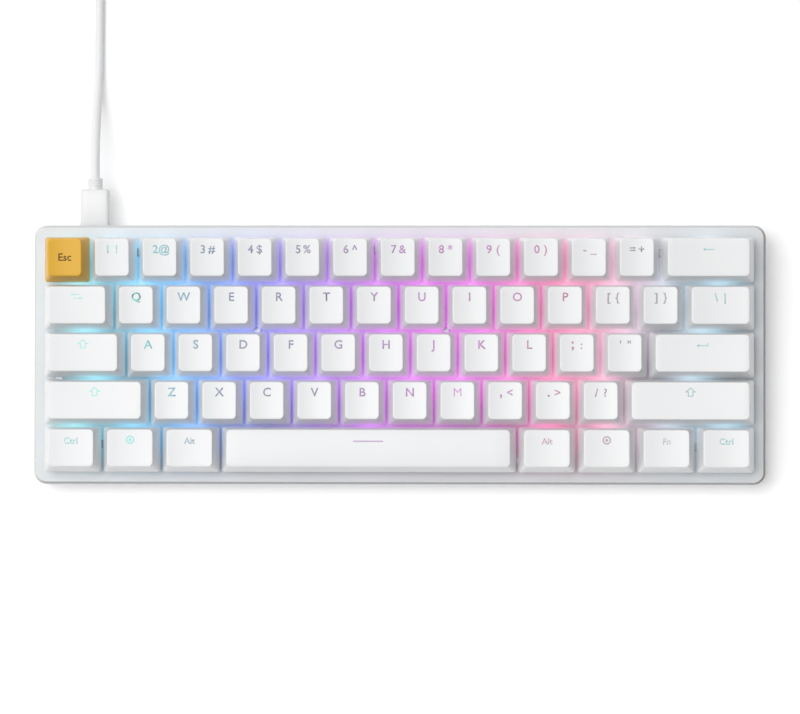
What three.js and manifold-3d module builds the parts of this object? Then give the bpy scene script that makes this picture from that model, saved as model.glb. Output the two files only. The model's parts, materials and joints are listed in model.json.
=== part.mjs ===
// A compact mechanical keyboard with 61 keys, its lead and two flip feet.
// Sizes are in millimetres. +X runs along the rows, +Y to the back, +Z up.
import * as THREE from "three";
import { mergeGeometries, mergeVertices } from "three/addons/utils/BufferGeometryUtils.js";
import Module from "manifold-3d";

const wasm = await Module();
wasm.setup();

// Layout
const PITCH = 19.05;
const ROW_UNITS = [
  ["esc:1", "number:12x1", "backspace:2"],
  ["tab:1.5", "q:1", "w:1", "e:1", "r:1", "t:1", "y:1", "u:1", "i:1", "o:1", "p:1",
    "bracket_left:1", "bracket_right:1", "backslash:1.5"],
  ["caps:1.75", "a:1", "s:1", "d:1", "f:1", "g:1", "h:1", "j:1", "k:1", "l:1",
    "semicolon:1", "quote:1", "enter:2.25"],
  ["shift_left:2.25", "z:1", "x:1", "c:1", "v:1", "b:1", "n:1", "m:1",
    "comma:1", "period:1", "slash:1", "shift_right:2.75"],
  ["modifiers_left:3x1.25", "space:6.25", "modifiers_right:4x1.25"],
];
const ROW_SPAN = 15 * PITCH;

// Deck: the plate and everything square to it lean forward by this angle
const DECK_TILT = THREE.MathUtils.degToRad(4);
const DECK_HEIGHT = 18.14; // middle of the plate's top face above the desk

// Plate: its chamfer runs down to a narrow upright edge
const PLATE = { width: 295, depth: 104.5, thick: 1.6, corner: 5, chamfer: 1, edge: 0.3 };
const CUTOUT = 14;
const SEAM = 0.3; // air between pieces that only just meet

// Switch housings
const SWITCH = { body: 13.8, flange: 15.6, flangeTop: 1.3, crown: 10.6, crownZ: 6.6 };
const STEM_POCKET = { side: 6.6, floorZ: -3.6 };
const CARRIER = { bottomZ: -4.9, topZ: -4.3, margin: 1.2 };

// Keycaps
const CAP = {
  base: 18.1, skirtZ: 6.4, topWidth: 13.2, topDepth: 14.6, backShift: 0.65,
  wall: 1.4, ceiling: 1.5, postSide: 5.5, postZ: 1.0, baseCorner: 0.9, topCorner: 1.9,
};
const ROW_HEIGHT = [11.2, 9.6, 9.0, 9.4, 9.4];
const ROW_LEAN = [5, 2.5, 0, -3, -3].map(THREE.MathUtils.degToRad);
const BANK_WEB = { reach: 0.7, depth: 6, height: 1.2 };

// Circuit board and socket
const BOARD = { width: 286, depth: 95.5, topZ: -5.2, thick: 1.6, corner: 3 };
const SOCKET = { x: -123.7, width: 9.1, height: 3.3, depth: 7.4, bore: 8.7, boreHeight: 2.8 };
const SOCKET_Z = BOARD.topZ - BOARD.thick - SEAM - SOCKET.height / 2;

// Case
const CASE = { inset: 0.35, wall: 2.4, topZ: -PLATE.thick - SEAM, floor: 2 };
const PAD_THICK = 1.6;
const CASE_BOTTOM = PAD_THICK;
const BOSS = { radius: 3, xs: [-119, 0, 119], ys: [-28, 12] };
const PORT = { width: 12.6, height: 7 };

// Flip feet
const FOOT = { x: 95, width: 34, length: 13.5, thick: 4.2, pinRadius: 1.5, pinLength: 1.1 };
const HINGE = { y: 45.2, z: 4.6 };
const RECESS = { side: 0.4, front: 31, back: 48.2, ceiling: 7.5, wall: 1.8 };
const NOTCH = { width: 15, front: 26.5, ceiling: 5 };

// Rubber pads: centre x, centre y, width, depth
const PADS = {
  front_pad_left: [-118, -43, 30, 7],
  front_pad_right: [118, -43, 30, 7],
  rear_pad_left: [-130.5, 41, 18, 10],
  rear_pad_right: [130.5, 41, 18, 10],
};

// Lead
const LEAD_RADIUS = 1.85;
const PLUG = { width: 11.8, height: 6.4, length: 14.9, tongueWidth: 8.3, tongueHeight: 2.4 };
const RELIEF = { length: 4.6, radius: 3.05 };
const COIL = { outerTurn: 30.4, innerTurn: 11.6, height: 7.5, y: 187 };
const COMPUTER_PLUG = { width: 16, height: 8, length: 28, shellWidth: 12, shellHeight: 4.5 };
const COMPUTER_SHELL = 18.6;
const COMPUTER_RELIEF = { length: 12, radius: 2.6 };

const COLOURS = {
  cap: 0xf4f4f3, accent: 0xe0ad3c, plate: 0xc9cdd2, body: 0xe9ecee, board: 0x2b3036,
  metal: 0xb9bdc2, rubber: 0x3a3c40, lead: 0xf0f0f0, housing: 0xdfe4ea,
};

// ---------------------------------------------------------------- helpers

function toSolid(geometry) {
  const plain = geometry.clone();
  plain.deleteAttribute("normal");
  plain.deleteAttribute("uv");
  const merged = mergeVertices(plain, 1e-4);
  return new wasm.Manifold(new wasm.Mesh({
    numProp: 3,
    vertProperties: new Float32Array(merged.attributes.position.array),
    triVerts: new Uint32Array(merged.index.array),
  }));
}

function toGeometry(solid) {
  const mesh = solid.getMesh();
  const geometry = new THREE.BufferGeometry();
  geometry.setAttribute("position", new THREE.BufferAttribute(mesh.vertProperties, 3));
  geometry.setIndex(new THREE.BufferAttribute(mesh.triVerts, 1));
  return geometry;
}

function united(geometries) {
  return wasm.Manifold.union(geometries.map(toSolid));
}

// An outline of four chamfered or rounded corners, counter-clockwise from above.
function outline(width, depth, corner, z, shiftY = 0, steps = 1) {
  const points = [];
  const corners = [[1, -1, -90], [1, 1, 0], [-1, 1, 90], [-1, -1, 180]];
  for (const [sideX, sideY, start] of corners) {
    for (let step = 0; step <= steps; step += 1) {
      const angle = THREE.MathUtils.degToRad(start + (90 * step) / steps);
      points.push(new THREE.Vector3(
        sideX * (width / 2 - corner) + corner * Math.cos(angle),
        sideY * (depth / 2 - corner) + corner * Math.sin(angle) + shiftY,
        z,
      ));
    }
  }
  return points;
}

// A closed skin through rings of equal count. The first ring is the upper lid.
function skin(rings) {
  const count = rings[0].length;
  const points = rings.flat();
  const index = [];
  for (let i = 1; i < count - 1; i += 1) {
    index.push(0, i, i + 1);
  }
  for (let ring = 0; ring < rings.length - 1; ring += 1) {
    for (let i = 0; i < count; i += 1) {
      const a = ring * count + i;
      const b = ring * count + ((i + 1) % count);
      index.push(a, a + count, b + count, a, b + count, b);
    }
  }
  const last = (rings.length - 1) * count;
  for (let i = 1; i < count - 1; i += 1) {
    index.push(last, last + i + 1, last + i);
  }
  const geometry = new THREE.BufferGeometry().setFromPoints(points);
  geometry.setIndex(index);
  return geometry;
}

function block(x0, x1, y0, y1, z0, z1) {
  const geometry = new THREE.BoxGeometry(x1 - x0, y1 - y0, z1 - z0);
  return geometry.translate((x0 + x1) / 2, (y0 + y1) / 2, (z0 + z1) / 2);
}

function rodAlongX(radius, x0, x1, y, z, sides = 12) {
  const geometry = new THREE.CylinderGeometry(radius, radius, x1 - x0, sides);
  return geometry.rotateZ(Math.PI / 2).translate((x0 + x1) / 2, y, z);
}

function finish(geometry, name, colour, roughness = 0.5, metalness = 0) {
  const flat = geometry.index ? geometry.toNonIndexed() : geometry;
  flat.computeVertexNormals();
  const material = new THREE.MeshStandardMaterial({ color: colour, roughness, metalness });
  const mesh = new THREE.Mesh(flat, material);
  mesh.name = name;
  return mesh;
}

// ---------------------------------------------------------------- layout

// Every key as {name, bank, x, y, units, row}, with x and y on the deck.
function layKeys() {
  const keys = [];
  ROW_UNITS.forEach((entries, row) => {
    let left = -ROW_SPAN / 2;
    const y = (2 - row) * PITCH;
    for (const entry of entries) {
      const [name, size] = entry.split(":");
      const many = size.includes("x");
      const [count, units] = many ? size.split("x").map(Number) : [1, Number(size)];
      for (let i = 0; i < count; i += 1) {
        keys.push({ name, bank: many, x: left + (units * PITCH) / 2, y, units, row });
        left += units * PITCH;
      }
    }
  });
  return keys;
}

// ---------------------------------------------------------------- keys

function keycap({ x, y, units, row }) {
  const extra = (units - 1) * PITCH;
  const height = ROW_HEIGHT[row];
  const lean = Math.tan(ROW_LEAN[row]);
  const leaned = (points) => points.map((p) => p.setZ(p.z + (p.y - CAP.backShift) * lean));
  const topZ = CAP.skirtZ + height;
  const ceilingZ = topZ - CAP.ceiling;
  const slope = (CAP.base - CAP.topWidth) / height;
  const innerWidth = CAP.topWidth - 2 * CAP.wall + slope * CAP.ceiling;
  const innerDepth = CAP.topDepth - 2 * CAP.wall + 0.5;
  const baseInner = CAP.base - 2 * CAP.wall;
  const rings = [
    leaned(outline(CAP.topWidth + extra, CAP.topDepth, CAP.topCorner, topZ, CAP.backShift)),
    outline(CAP.base + extra, CAP.base, CAP.baseCorner, CAP.skirtZ),
    outline(baseInner + extra, baseInner, CAP.baseCorner / 2, CAP.skirtZ),
    leaned(outline(innerWidth + extra, innerDepth, CAP.topCorner / 2, ceilingZ, CAP.backShift)),
    leaned(outline(CAP.postSide, CAP.postSide, 0.6, ceilingZ)),
    outline(CAP.postSide, CAP.postSide, 0.6, CAP.postZ),
  ];
  return skin(rings).translate(x, y, 0);
}

function bank(keys) {
  const parts = keys.map(keycap);
  for (let i = 0; i < keys.length - 1; i += 1) {
    const middle = (keys[i].x + keys[i + 1].x) / 2;
    const half = (PITCH - CAP.base) / 2 + BANK_WEB.reach;
    const y = keys[i].y;
    parts.push(block(
      middle - half, middle + half,
      y - BANK_WEB.depth / 2, y + BANK_WEB.depth / 2,
      CAP.skirtZ + 0.1, CAP.skirtZ + 0.1 + BANK_WEB.height,
    ));
  }
  return toGeometry(united(parts));
}

function addKeys(deck, keys) {
  const names = [...new Set(keys.map((key) => key.name))];
  for (const name of names) {
    const own = keys.filter((key) => key.name === name);
    const colour = name === "esc" ? COLOURS.accent : COLOURS.cap;
    if (own[0].bank) {
      const label = name === "number" ? "number_keys" : name;
      deck.add(finish(bank(own), label, colour));
    } else {
      deck.add(finish(keycap(own[0]), `key_${name}`, colour));
    }
  }
}

// ---------------------------------------------------------------- deck

function topPlate(keys) {
  const { width, depth, thick, corner, chamfer } = PLATE;
  const low = outline(width, depth, corner, -thick, 0, 6);
  const edge = outline(width, depth, corner, PLATE.edge - thick, 0, 6);
  const inner = outline(width - 2 * chamfer, depth - 2 * chamfer, corner - chamfer, 0, 0, 6);
  const cuts = keys.map(({ x, y }) => block(
    x - CUTOUT / 2, x + CUTOUT / 2, y - CUTOUT / 2, y + CUTOUT / 2, -thick - 1, 1,
  ));
  return toGeometry(toSolid(skin([inner, edge, low])).subtract(united(cuts)));
}

function switchHousings(keys) {
  const square = (side, z) => outline(side, side, side * 0.05, z).filter((_, i) => i % 2 === 0);
  const one = [
    square(STEM_POCKET.side, STEM_POCKET.floorZ),
    square(STEM_POCKET.side, SWITCH.crownZ),
    square(SWITCH.crown, SWITCH.crownZ),
    square(SWITCH.flange, SWITCH.flangeTop),
    square(SWITCH.flange, SEAM),
    square(SWITCH.body, SEAM),
    square(SWITCH.body, CARRIER.bottomZ),
  ];
  const towers = keys.map(({ x, y }) => skin(one).translate(x, y, 0));
  const reachX = ROW_SPAN / 2 - CARRIER.margin;
  const reachY = 2.5 * PITCH - CARRIER.margin;
  const sheet = block(-reachX, reachX, -reachY, reachY, CARRIER.bottomZ, CARRIER.topZ);
  const pockets = keys.map(({ x, y }) => skin([
    square(STEM_POCKET.side, SWITCH.crownZ + 1),
    square(STEM_POCKET.side, STEM_POCKET.floorZ),
  ]).translate(x, y, 0));
  return toGeometry(united([...towers, sheet]).subtract(united(pockets)));
}

function circuitBoard() {
  const { width, depth, corner, topZ, thick } = BOARD;
  return skin([
    outline(width, depth, corner, topZ, 0, 2),
    outline(width, depth, corner, topZ - thick, 0, 2),
  ]);
}

function usbSocket() {
  const back = PLATE.depth / 2 - CASE.wall - 0.6;
  const { x, width, height, depth, bore, boreHeight } = SOCKET;
  const shell = block(x - width / 2, x + width / 2, back - depth, back,
    SOCKET_Z - height / 2, SOCKET_Z + height / 2);
  const cavity = block(x - bore / 2, x + bore / 2, back - depth + 1, back + 1,
    SOCKET_Z - boreHeight / 2, SOCKET_Z + boreHeight / 2);
  return toGeometry(toSolid(shell).subtract(toSolid(cavity)));
}

function leadPlug() {
  const back = PLATE.depth / 2;
  const seat = back - CASE.wall + 0.3;
  const { x } = SOCKET;
  const lying = (rings) => skin(rings).rotateX(-Math.PI / 2).translate(x, 0, SOCKET_Z);
  const body = lying([
    outline(PLUG.width - 1.2, PLUG.height - 1.2, 1.2, back + PLUG.length, 0, 2),
    outline(PLUG.width, PLUG.height, 1.6, back + PLUG.length - 0.8, 0, 2),
    outline(PLUG.width, PLUG.height, 1.6, seat, 0, 2),
  ]);
  const relief = new THREE.CylinderGeometry(
    LEAD_RADIUS + 0.5, RELIEF.radius, RELIEF.length + 1, 12,
  ).translate(x, back + PLUG.length + (RELIEF.length - 1) / 2, SOCKET_Z);
  const tongue = block(x - PLUG.tongueWidth / 2, x + PLUG.tongueWidth / 2, seat - 6.2, seat + 1,
    SOCKET_Z - PLUG.tongueHeight / 2, SOCKET_Z + PLUG.tongueHeight / 2);
  return toGeometry(united([body, relief, tongue]));
}

// ---------------------------------------------------------------- case

function onDesk(geometry) {
  return geometry.rotateX(DECK_TILT).translate(0, 0, DECK_HEIGHT);
}

function bottomCase() {
  const width = PLATE.width - 2 * CASE.inset;
  const depth = PLATE.depth - 2 * CASE.inset;
  const shell = (inset, corner, top, low) => onDesk(skin([
    outline(width - 2 * inset, depth - 2 * inset, corner, top, 0, 6),
    outline(width - 2 * inset, depth - 2 * inset, corner, low, 0, 6),
  ]));
  const room = (z) => block(-200, 200, -80, 80, z, 60);
  const outer = toSolid(shell(0, PLATE.corner - CASE.inset, CASE.topZ, -40));
  const inner = toSolid(shell(CASE.wall, 2.4, 5, -40));
  const solid = outer.intersect(toSolid(room(CASE_BOTTOM)));
  const hollow = inner.intersect(toSolid(room(CASE_BOTTOM + CASE.floor)));
  const reach = FOOT.width / 2 + RECESS.side;
  const additions = [];
  const cuts = [];
  for (const side of [-1, 1]) {
    const x = side * FOOT.x;
    const wall = RECESS.wall;
    additions.push(block(x - reach - wall, x + reach + wall, RECESS.front - wall, 49.4,
      CASE_BOTTOM + 0.5, RECESS.ceiling + wall));
    cuts.push(block(x - reach, x + reach, RECESS.front, RECESS.back, -1, RECESS.ceiling));
    cuts.push(block(x - NOTCH.width / 2, x + NOTCH.width / 2, NOTCH.front, RECESS.front + 0.5,
      -1, CASE_BOTTOM + 1.1));
    const pin = FOOT.width / 2 + FOOT.pinLength + 0.3;
    cuts.push(rodAlongX(FOOT.pinRadius + 0.25, x - pin, x + pin, HINGE.y, HINGE.z));
  }
  const bossTop = BOARD.topZ - BOARD.thick - SEAM;
  for (const x of BOSS.xs) {
    for (const y of BOSS.ys) {
      const boss = new THREE.CylinderGeometry(BOSS.radius, BOSS.radius, 20, 8);
      boss.rotateX(Math.PI / 2).translate(x, y, bossTop - 10);
      additions.push(onDesk(boss));
    }
  }
  const port = onDesk(skin([
    outline(PORT.width, PORT.height, 1.9, 60, 0, 2),
    outline(PORT.width, PORT.height, 1.9, 45, 0, 2),
  ]).rotateX(-Math.PI / 2).translate(SOCKET.x, 0, SOCKET_Z));
  const blocks = united(additions).intersect(toSolid(room(CASE_BOTTOM))).intersect(outer);
  return toGeometry(solid.subtract(hollow).add(blocks).subtract(united([...cuts, port])));
}

function flipFoot(side) {
  const x = side * FOOT.x;
  const half = FOOT.width / 2;
  const radius = FOOT.thick / 2;
  const profile = new THREE.Shape();
  profile.moveTo(-FOOT.length, -radius);
  profile.lineTo(0, -radius);
  profile.absarc(0, 0, radius, -Math.PI / 2, Math.PI / 2, false);
  profile.lineTo(-FOOT.length + 2, radius);
  profile.lineTo(-FOOT.length, radius - 1.4);
  profile.closePath();
  const body = new THREE.ExtrudeGeometry(profile, {
    depth: FOOT.width, bevelEnabled: false, curveSegments: 8,
  });
  body.rotateY(Math.PI / 2).rotateX(Math.PI / 2).translate(x - half, HINGE.y, HINGE.z);
  const pins = rodAlongX(FOOT.pinRadius, x - half - FOOT.pinLength, x + half + FOOT.pinLength,
    HINGE.y, HINGE.z);
  return toGeometry(united([body, pins]));
}

function pad([x, y, width, depth]) {
  return skin([
    outline(width, depth, 3, PAD_THICK - 0.05, 0, 4),
    outline(width, depth, 3, 0.4, 0, 4),
    outline(width - 0.8, depth - 0.8, 2.6, 0, 0, 4),
  ]).translate(x, y, 0);
}

// ---------------------------------------------------------------- lead

function leadPath() {
  const tip = new THREE.Vector3(SOCKET.x, PLATE.depth / 2 + PLUG.length + RELIEF.length, SOCKET_Z);
  tip.applyAxisAngle(new THREE.Vector3(1, 0, 0), DECK_TILT);
  tip.z += DECK_HEIGHT;
  const along = new THREE.Vector3(0, Math.cos(DECK_TILT), Math.sin(DECK_TILT));
  const first = tip.clone().addScaledVector(along, SEAM);
  const second = tip.clone().addScaledVector(along, 9);
  const near = COIL.outerTurn - LEAD_RADIUS;
  const edge = COIL.y - Math.sqrt((COIL.outerTurn + LEAD_RADIUS) ** 2 - near ** 2);
  return [
    first,
    second,
    new THREE.Vector3(SOCKET.x, 96, 11.4),
    new THREE.Vector3(SOCKET.x, 108, 5.4),
    new THREE.Vector3(SOCKET.x, 117, 2.7),
    new THREE.Vector3(SOCKET.x, 126, LEAD_RADIUS + 0.1),
    new THREE.Vector3(SOCKET.x, 142, LEAD_RADIUS + 0.05),
    new THREE.Vector3(SOCKET.x, edge - 0.6, LEAD_RADIUS + 0.05),
  ];
}

function lead() {
  const section = new THREE.Shape();
  for (let side = 0; side < 8; side += 1) {
    const angle = (Math.PI * (side + 0.5)) / 4;
    const corner = [LEAD_RADIUS * Math.cos(angle), LEAD_RADIUS * Math.sin(angle)];
    if (side === 0) {
      section.moveTo(...corner);
    } else {
      section.lineTo(...corner);
    }
  }
  section.closePath();
  const route = new THREE.CatmullRomCurve3(leadPath(), false, "centripetal");
  return new THREE.ExtrudeGeometry(section, { steps: 28, bevelEnabled: false, extrudePath: route });
}

function coilMiddle() {
  return new THREE.Vector3(SOCKET.x + COIL.outerTurn, COIL.y, 0);
}

function leadCoil() {
  const inside = COIL.innerTurn - LEAD_RADIUS;
  const outside = COIL.outerTurn + LEAD_RADIUS;
  const soft = 1.6;
  const profile = [
    [inside + soft, 0], [outside - soft, 0], [outside, soft], [outside, COIL.height - soft],
    [outside - soft, COIL.height], [inside + soft, COIL.height],
    [inside, COIL.height - soft], [inside, soft], [inside + soft, 0],
  ].map(([r, z]) => new THREE.Vector2(r, z));
  const middle = coilMiddle();
  return new THREE.LatheGeometry(profile, 32).rotateX(Math.PI / 2)
    .translate(middle.x, middle.y, middle.z);
}

function computerPlug() {
  const middle = coilMiddle();
  const y = middle.y + COIL.outerTurn;
  const start = middle.x + 18;
  const z = COMPUTER_PLUG.height / 2;
  const { length, width, height, shellWidth, shellHeight } = COMPUTER_PLUG;
  const bodyStart = start + COMPUTER_RELIEF.length;
  const bodyEnd = bodyStart + length;
  const lying = (rings) => skin(rings).rotateX(-Math.PI / 2).rotateZ(-Math.PI / 2)
    .translate(0, y, z);
  const body = lying([
    outline(width - 1.6, height - 1.6, 1.4, bodyEnd, 0, 2),
    outline(width, height, 2, bodyEnd - 1, 0, 2),
    outline(width, height, 2, bodyStart + 1.6, 0, 2),
    outline(width - 3, height - 1.6, 1.6, bodyStart, 0, 2),
  ]);
  const relief = new THREE.CylinderGeometry(
    COMPUTER_RELIEF.radius + 0.4, COMPUTER_RELIEF.radius, COMPUTER_RELIEF.length + 1, 10,
  ).rotateZ(-Math.PI / 2).translate(bodyStart - (COMPUTER_RELIEF.length - 1) / 2, y, z);
  const shell = block(bodyEnd - 1, bodyEnd + COMPUTER_SHELL, y - shellWidth / 2,
    y + shellWidth / 2, z - shellHeight / 2, z + shellHeight / 2);
  return toGeometry(united([body, relief, shell]));
}

// ---------------------------------------------------------------- assembly

const keys = layKeys();
const object = new THREE.Group();
object.name = "keyboard";

const deck = new THREE.Group();
deck.name = "deck";
deck.rotation.x = DECK_TILT;
deck.position.z = DECK_HEIGHT;
addKeys(deck, keys);
deck.add(finish(topPlate(keys), "top_plate", COLOURS.plate, 0.35, 0.6));
deck.add(finish(switchHousings(keys), "switch_housings", COLOURS.housing, 0.3));
deck.add(finish(circuitBoard(), "circuit_board", COLOURS.board, 0.5));
deck.add(finish(usbSocket(), "usb_socket", COLOURS.metal, 0.3, 1));
deck.add(finish(leadPlug(), "lead_plug", COLOURS.lead, 0.45));
object.add(deck);

object.add(finish(bottomCase(), "bottom_case", COLOURS.body, 0.5));
object.add(finish(flipFoot(-1), "flip_foot_left", COLOURS.body, 0.5));
object.add(finish(flipFoot(1), "flip_foot_right", COLOURS.body, 0.5));
for (const [name, place] of Object.entries(PADS)) {
  object.add(finish(pad(place), name, COLOURS.rubber, 0.9));
}
object.add(finish(lead(), "lead", COLOURS.lead, 0.45));
object.add(finish(leadCoil(), "lead_coil", COLOURS.lead, 0.45));
object.add(finish(computerPlug(), "computer_plug", COLOURS.lead, 0.45));

// The origin is the bottom centre of the keyboard's box, its lead left out.
const LEAD_NODES = ["lead_plug", "lead", "lead_coil", "computer_plug"];
object.updateMatrixWorld(true);
const box = new THREE.Box3();
object.traverse((node) => {
  if (node.isMesh && !LEAD_NODES.includes(node.name)) {
    box.expandByObject(node);
  }
});
const middle = box.getCenter(new THREE.Vector3());
object.position.set(-middle.x, -middle.y, -box.min.z);
object.updateMatrixWorld(true);

export default object;
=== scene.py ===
"""A compact mechanical keyboard: caps, switches, plate, case, feet and lead."""

import json
import math
from contextlib import contextmanager

import bmesh
import bpy
from mathutils import Matrix, Vector


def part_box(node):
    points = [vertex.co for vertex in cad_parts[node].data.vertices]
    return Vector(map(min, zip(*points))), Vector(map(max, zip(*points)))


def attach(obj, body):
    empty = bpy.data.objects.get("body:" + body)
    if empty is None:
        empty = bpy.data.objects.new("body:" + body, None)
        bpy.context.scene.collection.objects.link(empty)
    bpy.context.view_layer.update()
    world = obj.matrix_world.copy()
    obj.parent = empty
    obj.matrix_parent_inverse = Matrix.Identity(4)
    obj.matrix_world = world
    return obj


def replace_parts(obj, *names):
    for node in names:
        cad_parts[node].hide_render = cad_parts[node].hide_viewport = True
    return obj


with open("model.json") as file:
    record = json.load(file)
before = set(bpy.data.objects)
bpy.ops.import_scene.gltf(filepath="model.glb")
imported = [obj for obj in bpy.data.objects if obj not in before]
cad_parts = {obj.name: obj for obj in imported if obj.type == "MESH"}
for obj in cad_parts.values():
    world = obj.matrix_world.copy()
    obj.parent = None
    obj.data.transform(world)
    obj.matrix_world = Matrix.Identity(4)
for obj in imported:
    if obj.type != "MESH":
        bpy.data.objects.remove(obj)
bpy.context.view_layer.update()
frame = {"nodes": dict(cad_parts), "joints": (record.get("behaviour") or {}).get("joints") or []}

bl_info = {
    "name": "Compact mechanical keyboard",
    "version": (1, 0, 0),
    "blender": (4, 5, 0),
    "location": "3D View > Sidebar > Keyboard",
    "description": "Builds the caps, legends, switches, plate, case, feet and lead of a keyboard",
    "category": "Add Mesh",
}

MM = 0.001
PITCH = 19.05 * MM
CASE_BODY = "case"

# ---- deck and layout


def find_deck():
    """The deck's own frame: origin on the middle of the plate's top face, +Z square to it."""
    press = next(j for j in frame["joints"] if j["type"] == "slide")["axis"]
    turn = Matrix.Rotation(math.atan2(press[1], -press[2]), 4, "X")
    level = [turn.inverted() @ v.co for v in frame["nodes"]["top_plate"].data.vertices]
    low, high = (Vector([pick(p[i] for p in level) for i in range(3)]) for pick in (min, max))
    middle = turn @ Vector(((low.x + high.x) / 2, (low.y + high.y) / 2, high.z))
    return Matrix.Translation(middle) @ turn, high - low


DECK, PLATE_SIZE = find_deck()
DECK_BACK = DECK.inverted()

# Each key: units wide, legend, body it rides on.
ROWS = [
    [(1, "Esc", "key_esc")]
    + [(1, mark, "number_keys") for mark in
       ("1!", "2@", "3#", "4$", "5%", "6^", "7&", "8*", "9(", "0)", "-_", "=+")]
    + [(2, "arrow_back", "key_backspace")],
    [(1.5, "arrow_tab", "key_tab")]
    + [(1, letter, "key_" + letter.lower()) for letter in "QWERTYUIOP"]
    + [(1, "[{", "key_bracket_left"), (1, "]}", "key_bracket_right"),
       (1.5, "\\|", "key_backslash")],
    [(1.75, "arrow_caps", "key_caps")]
    + [(1, letter, "key_" + letter.lower()) for letter in "ASDFGHJKL"]
    + [(1, ";:", "key_semicolon"), (1, "'\"", "key_quote"), (2.25, "arrow_enter", "key_enter")],
    [(2.25, "arrow_shift", "key_shift_left")]
    + [(1, letter, "key_" + letter.lower()) for letter in "ZXCVBNM"]
    + [(1, ",<", "key_comma"), (1, ".>", "key_period"), (1, "/?", "key_slash"),
       (2.75, "arrow_shift", "key_shift_right")],
    [(1.25, "Ctrl", "modifiers_left"), (1.25, "system", "modifiers_left"),
     (1.25, "Alt", "modifiers_left"), (6.25, "bar", "key_space"),
     (1.25, "Alt", "modifiers_right"), (1.25, "system", "modifiers_right"),
     (1.25, "Fn", "modifiers_right"), (1.25, "Ctrl", "modifiers_right")],
]


def standing_at(mesh, key):
    """The mesh, moved from the middle of the deck to a key's place."""
    mesh.transform(DECK @ Matrix.Translation((key["x"], key["y"], 0)))
    return mesh


def lay_keys():
    """Every key as a dict, with x and y on the deck in metres."""
    keys = []
    for row, entries in enumerate(ROWS):
        left = -7.5 * PITCH
        for units, mark, body in entries:
            keys.append({
                "row": row, "units": units, "mark": mark, "body": body,
                "x": left + units * PITCH / 2, "y": (2 - row) * PITCH,
            })
            left += units * PITCH
    return keys


KEYS = lay_keys()

# ---- backlight colours


def linear(red, green, blue):
    """A screen colour, 0 to 255, as a linear one."""
    def one(value):
        value /= 255
        return value / 12.92 if value <= 0.04045 else ((value + 0.055) / 1.055) ** 2.4
    return Vector((one(red), one(green), one(blue)))


def stops(*entries):
    """Colour stops from a place in millimetres and a screen colour each."""
    return [(at, linear(*colour)) for at, *colour in entries]


# Along the deck from left to right, in millimetres
GLOW_STOPS = stops(
    (-136, 136, 222, 226), (-114, 108, 216, 246), (-94, 90, 188, 248), (-80, 72, 150, 230),
    (-58, 108, 112, 236), (-38, 152, 98, 230), (-16, 186, 72, 220), (6, 214, 58, 222),
    (30, 224, 66, 216), (46, 228, 72, 182), (62, 240, 86, 158), (80, 246, 142, 182),
    (94, 228, 190, 212), (106, 186, 194, 210), (120, 182, 216, 232), (142, 150, 206, 230),
)
# The same for light that comes through the legends
LEGEND_STOPS = stops(
    (-134, 152, 212, 208), (-104, 126, 204, 202), (-90, 132, 178, 190), (-76, 138, 152, 172),
    (-40, 148, 144, 170), (-12, 168, 140, 180), (22, 188, 136, 192), (50, 188, 136, 178),
    (68, 188, 130, 162), (84, 166, 148, 158), (104, 160, 162, 170), (118, 146, 180, 186),
    (134, 146, 202, 206),
)


def ramp(entries, place):
    """The colour at a place on the deck."""
    at = place.x / MM
    if at <= entries[0][0]:
        return entries[0][1].copy()
    for (x0, c0), (x1, c1) in zip(entries, entries[1:]):
        if at <= x1:
            return c0.lerp(c1, (at - x0) / (x1 - x0))
    return entries[-1][1].copy()


LAMPS = [(key["x"], key["y"] + 4.7 * MM) for key in KEYS]
SPILL_BACK = 1.8 * MM  # the lamps shine mostly backwards, into the gap behind each row
SPILL_X = 8.8 * MM
SPILL_Y = 8.2 * MM


def light_sources():
    """Where light spreads over the plate from, and how strongly."""
    sources = [(x, y + SPILL_BACK, 1.0) for x, y in LAMPS]
    space = next(key for key in KEYS if key["units"] > 6)
    for step in (-2.6, -1.6, -0.9, 0.9, 1.6, 2.6):  # painted backlight along the rest of the space bar's gap, where no lamp stands
        sources.append((space["x"] + step * PITCH, space["y"] + 4.7 * MM + SPILL_BACK, 0.42))
    return sources


SOURCES = light_sources()
BLEACH = 0.36  # how much white the strongest light takes on
BLEACH_FROM = 0.33
LAMP_POWER = 1.12
CROWDING = 0.3  # how much light that overlaps is held back
# Strengths of the backlight painted as a glow on the plate, the caps' lower sides and the housings
PLATE_GLOW = 0.62
CAP_SIDE_GLOW = 0.42
HOUSING_GLOW = 0.55
FLOOR_LIFT = 0.10
OUTER_SHARE = 0.25  # of the glow that reaches the block of keys' outer sides
FAR_ENOUGH = 16  # past this a lamp adds nothing that shows


def glow_level(x, y):
    """How strongly the lamps light a place on the plate, about 1 among the small keys."""
    total = 0
    for from_x, from_y, strength in SOURCES:
        far = ((x - from_x) / SPILL_X) ** 2 + ((y - from_y) / SPILL_Y) ** 2
        if far < FAR_ENOUGH:
            total += strength * math.exp(-far)
    return total * LAMP_POWER / (1 + CROWDING * total)


def store_backlight(mesh, colour_at):
    """Stores a colour on a mesh's points, for materials to read. colour_at takes a deck point."""
    layer = mesh.attributes.new("backlight", "FLOAT_COLOR", "POINT")
    for vertex, entry in zip(mesh.vertices, layer.data):
        entry.color = (*colour_at(DECK_BACK @ vertex.co), 1)


def paint_glow(mesh, level_at):
    """Stores the backlight on a mesh, as strong as level_at says, and whiter where strong."""
    def colour_at(place):
        level = level_at(place)
        bleach = BLEACH * max(0.0, level - BLEACH_FROM)
        colour = ramp(GLOW_STOPS, place) * level if level > 0 else Vector((0, 0, 0))
        return [part + bleach for part in colour]

    store_backlight(mesh, colour_at)


PALE_LEGEND = linear(216, 216, 222)
# These legends get less of the painted backlight, and turn towards the pale colour by the share
# given.
FAINTNESS = {"Ctrl": 0.12, "Alt": 0.3, "Fn": 0.5, "bar": 0.1, "1!": 0.25, "-_": 0.15}


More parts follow.
